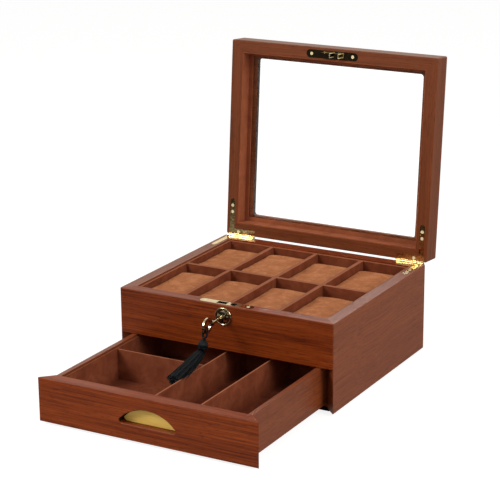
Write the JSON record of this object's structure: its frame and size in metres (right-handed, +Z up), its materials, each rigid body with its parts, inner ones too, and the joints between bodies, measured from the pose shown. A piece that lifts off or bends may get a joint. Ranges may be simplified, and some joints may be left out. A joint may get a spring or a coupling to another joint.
{
  "type": "watch box with drawer",
  "caption": "Wooden watch box with a glazed hinged lid over a slotted tray of watch pillows, a lock with key and tassel, and a divided drawer below",
  "frame": {"origin": "centre of the underside of the base board, where the box rests", "axes": "+X to the right seen from the drawer's side, +Y to the back, where the hinges are, +Z up"},
  "size_m": [0.286, 0.4795, 0.3662],
  "materials": {
    "stained_wood": "satin lacquer",
    "black_board": "matte",
    "black_felt": "felt",
    "suede_lining": "flocked",
    "pillow_suede": "flocked",
    "lid_glass": "clear",
    "polished_brass": "polished",
    "satin_brass": "satin",
    "lock_steel": "plain",
    "black_yarn": "yarn"
  },
  "bodies": {
    "case": {"case_left_side": "stained_wood", "case_right_side": "stained_wood", "case_front_panel": "stained_wood", "case_back_panel": "stained_wood", "case_bottom_panel": "black_board", "base_board": "black_felt", "tray_floor": "black_board", "tray_liner": "suede_lining", "tray_floor_pad": "suede_lining", "tray_long_divider_1": "suede_lining", "tray_cross_divider_1": "suede_lining", "tray_cross_divider_2": "suede_lining", "tray_cross_divider_3": "suede_lining", "lock_case": "lock_steel", "lock_plate": "polished_brass", "lock_plate_screws": "polished_brass", "lock_rosette": "polished_brass", "hinge_left_case_leaf": "polished_brass", "hinge_right_case_leaf": "polished_brass", "hinge_pins": "polished_brass", "hinge_case_screws": "polished_brass"},
    "lid": {"lid_left_rail": "stained_wood", "lid_right_rail": "stained_wood", "lid_front_rail": "stained_wood", "lid_back_rail": "stained_wood", "lid_window_frame": "stained_wood", "lid_glass": "lid_glass", "lid_lining": "suede_lining", "glass_retainer": "suede_lining", "link_plate": "polished_brass", "link_plate_screws": "polished_brass", "hinge_left_lid_leaf": "polished_brass", "hinge_right_lid_leaf": "polished_brass", "hinge_lid_screws": "polished_brass"},
    "drawer": {"drawer_front": "stained_wood", "drawer_left_side": "stained_wood", "drawer_right_side": "stained_wood", "drawer_back": "stained_wood", "drawer_bottom": "black_board", "drawer_liner": "suede_lining", "drawer_floor_pad": "suede_lining", "drawer_cross_divider": "suede_lining", "drawer_long_divider_1": "suede_lining", "drawer_long_divider_2": "suede_lining", "drawer_pull_plate": "satin_brass"},
    "bolt": {"lock_bolt": "lock_steel"},
    "key": {"key": "polished_brass"},
    "tassel": {"tassel_loop": "black_yarn", "tassel_head": "black_yarn"},
    "skirt": {"tassel_skirt": "black_yarn"},
    "pillow_1": {"watch_pillow_1": "pillow_suede"},
    "pillow_2": {"watch_pillow_2": "pillow_suede"},
    "pillow_3": {"watch_pillow_3": "pillow_suede"},
    "pillow_4": {"watch_pillow_4": "pillow_suede"},
    "pillow_5": {"watch_pillow_5": "pillow_suede"},
    "pillow_6": {"watch_pillow_6": "pillow_suede"},
    "pillow_7": {"watch_pillow_7": "pillow_suede"},
    "pillow_8": {"watch_pillow_8": "pillow_suede"}
  },
  "joints": [
    {"name": "lid_hinge", "type": "hinge", "parent": "case", "child": "lid", "pos_m": [0, 0.1289, 0.11135], "axis": [-1, 0, 0], "range_deg": [-94.76, 0]},
    {"name": "drawer_slide", "type": "slide", "parent": "case", "child": "drawer", "axis": [0, -1, 0], "range_m": [-0.1733, 0], "deforming": ["tassel_skirt"]},
    {"name": "key_turn", "type": "hinge", "parent": "case", "child": "key", "pos_m": [0, -0.127, 0.0981], "axis": [0, 1, 0], "range_deg": [0, 90], "deforming": ["tassel_loop"]},
    {"name": "bolt_slide", "type": "slide", "parent": "case", "child": "bolt", "axis": [-1, 0, 0], "range_m": [0, 0.00401]},
    {"name": "tassel_hang", "type": "hinge", "parent": "key", "child": "tassel", "pos_m": [0, -0.16879, 0.09196], "axis": [0, 1, 0], "range_deg": [-90.5, 0]},
    {"name": "skirt_swing", "type": "hinge", "parent": "tassel", "child": "skirt", "pos_m": [0, -0.17579, 0.07136], "axis": [-0.9834, 0.1814, 0], "range_deg": [-66.7, 0]},
    {"name": "pillow_1_lift", "type": "slide", "parent": "case", "child": "pillow_1", "axis": [0, 0, 1], "range_m": [0, 0.06]},
    {"name": "pillow_2_lift", "type": "slide", "parent": "case", "child": "pillow_2", "axis": [0, 0, 1], "range_m": [0, 0.06]},
    {"name": "pillow_3_lift", "type": "slide", "parent": "case", "child": "pillow_3", "axis": [0, 0, 1], "range_m": [0, 0.06]},
    {"name": "pillow_4_lift", "type": "slide", "parent": "case", "child": "pillow_4", "axis": [0, 0, 1], "range_m": [0, 0.06]},
    {"name": "pillow_5_lift", "type": "slide", "parent": "case", "child": "pillow_5", "axis": [0, 0, 1], "range_m": [0, 0.06]},
    {"name": "pillow_6_lift", "type": "slide", "parent": "case", "child": "pillow_6", "axis": [0, 0, 1], "range_m": [0, 0.06]},
    {"name": "pillow_7_lift", "type": "slide", "parent": "case", "child": "pillow_7", "axis": [0, 0, 1], "range_m": [0, 0.06]},
    {"name": "pillow_8_lift", "type": "slide", "parent": "case", "child": "pillow_8", "axis": [0, 0, 1], "range_m": [0, 0.06]}
  ],
  "couplings": [
    {"joint": "bolt_slide", "follows": "key_turn", "m_per_rad": 0.0025465},
    {"joint": "tassel_hang", "follows": "key_turn", "ratio": -1},
    {"joint": "skirt_swing", "follows": "drawer_slide", "rad_per_m": 6.6669}
  ]
}
